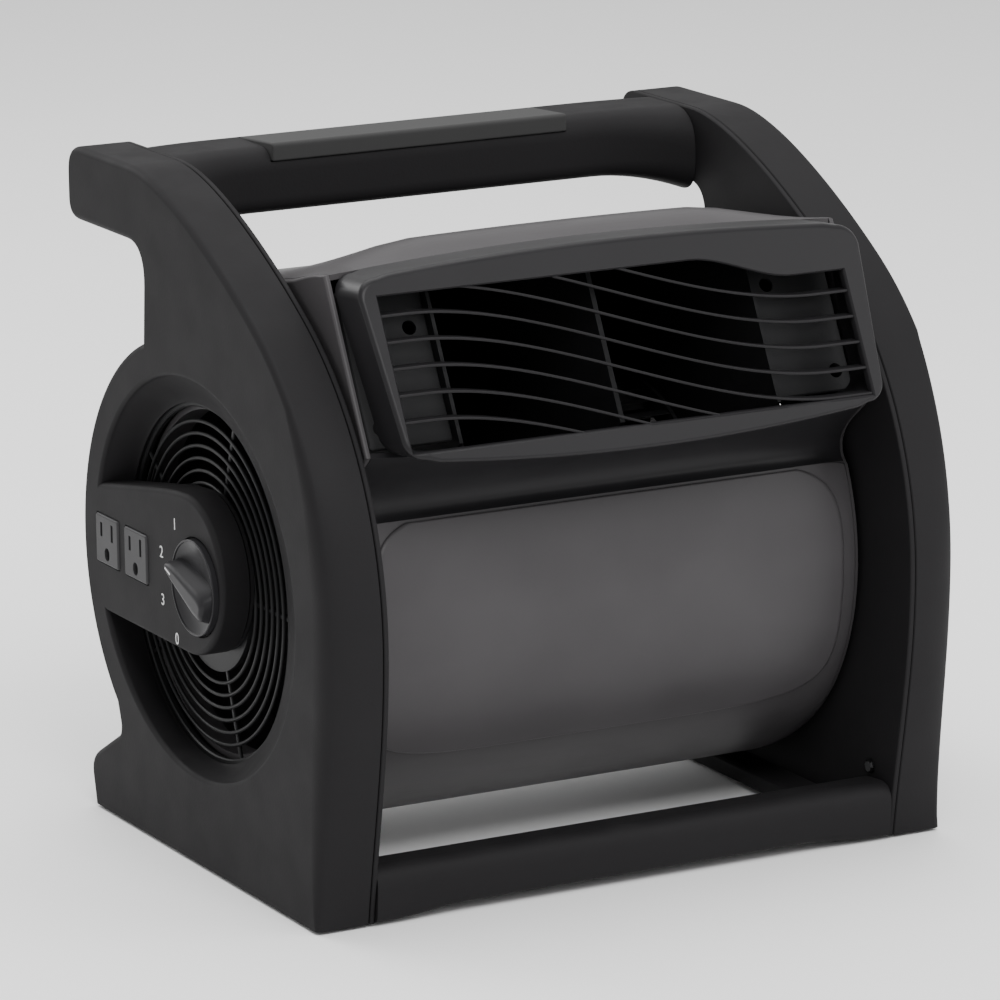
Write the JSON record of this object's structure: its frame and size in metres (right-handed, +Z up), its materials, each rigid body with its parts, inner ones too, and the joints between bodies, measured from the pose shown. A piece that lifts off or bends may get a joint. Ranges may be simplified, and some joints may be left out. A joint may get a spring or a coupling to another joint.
{
  "type": "pivoting twin-inlet utility blower",
  "caption": "Portable centrifugal floor blower: a drum with a louvred nozzle tips between two side frames with ringed side intakes, a carry bar, a speed knob and socket outlets",
  "frame": {"origin": "centre of the bounding box's bottom, on the floor", "axes": "+X along the drum away from the control side, +Y to the back where the handle bar is, +Z up; the nozzle faces -Y"},
  "size_m": [0.3358, 0.2766, 0.3197],
  "materials": {
    "frame_plastic": "fine-textured charcoal",
    "grille_plastic": "satin black",
    "drum_plastic": "satin grey",
    "nozzle_plastic": "satin black",
    "baffle_plastic": "plain grey",
    "outlet_plastic": "satin light grey",
    "knob_plastic": "satin dark grey",
    "grip_rubber": "soft matt",
    "pad_rubber": "matt black",
    "friction_felt": "pressed felt",
    "electrical_plastic": "moulded black",
    "zinc_steel": "zinc plated",
    "core_steel": "laminated and dull",
    "cap_aluminium": "as cast",
    "wheel_plastic": "moulded black"
  },
  "bodies": {
    "frame": {"control_box_cover": "frame_plastic", "cord_gland": "pad_rubber", "front_cross_bar": "frame_plastic", "front_outlet": "outlet_plastic", "handle_bar": "frame_plastic", "handle_grip": "grip_rubber", "left_bar_screw_1": "zinc_steel", "left_bar_screw_2": "zinc_steel", "left_frame_screw_1": "zinc_steel", "left_frame_screw_2": "zinc_steel", "left_frame_screw_3": "zinc_steel", "left_friction_ring": "friction_felt", "left_front_foot_pad": "pad_rubber", "left_handle_screw_1": "zinc_steel", "left_handle_screw_2": "zinc_steel", "left_inner_cover": "frame_plastic", "left_intake_grille": "grille_plastic", "left_rear_foot_pad": "pad_rubber", "left_side_frame": "frame_plastic", "rear_outlet": "outlet_plastic", "right_bar_screw_1": "zinc_steel", "right_bar_screw_2": "zinc_steel", "right_frame_screw_1": "zinc_steel", "right_frame_screw_2": "zinc_steel", "right_frame_screw_3": "zinc_steel", "right_friction_ring": "friction_felt", "right_front_foot_pad": "pad_rubber", "right_handle_screw_1": "zinc_steel", "right_handle_screw_2": "zinc_steel", "right_inner_cover": "frame_plastic", "right_intake_grille": "grille_plastic", "right_rear_foot_pad": "pad_rubber", "right_side_frame": "frame_plastic", "run_capacitor": "electrical_plastic", "speed_switch": "electrical_plastic"},
    "blower_head": {"drum_front_shell": "drum_plastic", "drum_rear_shell": "drum_plastic", "left_end_plate": "drum_plastic", "right_end_plate": "drum_plastic", "nozzle_grille": "nozzle_plastic", "left_scroll_plate": "wheel_plastic", "right_scroll_plate": "wheel_plastic", "left_outlet_baffle": "baffle_plastic", "right_outlet_baffle": "baffle_plastic", "motor_mount_plate": "wheel_plastic", "stator_core": "core_steel", "left_motor_cap": "cap_aluminium", "right_motor_cap": "cap_aluminium", "left_bearing": "core_steel", "right_bearing": "core_steel"},
    "impeller": {"motor_shaft": "zinc_steel", "motor_rotor": "core_steel", "left_blower_wheel": "wheel_plastic", "right_blower_wheel": "wheel_plastic"},
    "knob": {"speed_knob": "knob_plastic", "knob_spindle": "zinc_steel"}
  },
  "joints": [
    {"name": "head_tilt", "type": "hinge", "parent": "frame", "child": "blower_head", "pos_m": [0.0054, 0.01909, 0.12849], "axis": [1, 0, 0], "range_deg": [-30, 45]},
    {"name": "impeller_spin", "type": "hinge", "parent": "blower_head", "child": "impeller", "pos_m": [0.0054, 0.01909, 0.12849], "axis": [1, 0, 0], "continuous": true},
    {"name": "speed_selector", "type": "hinge", "parent": "frame", "child": "knob", "pos_m": [-0.157, -0.00241, 0.1335], "axis": [1, 0, 0], "range_deg": [-90, 45]}
  ]
}
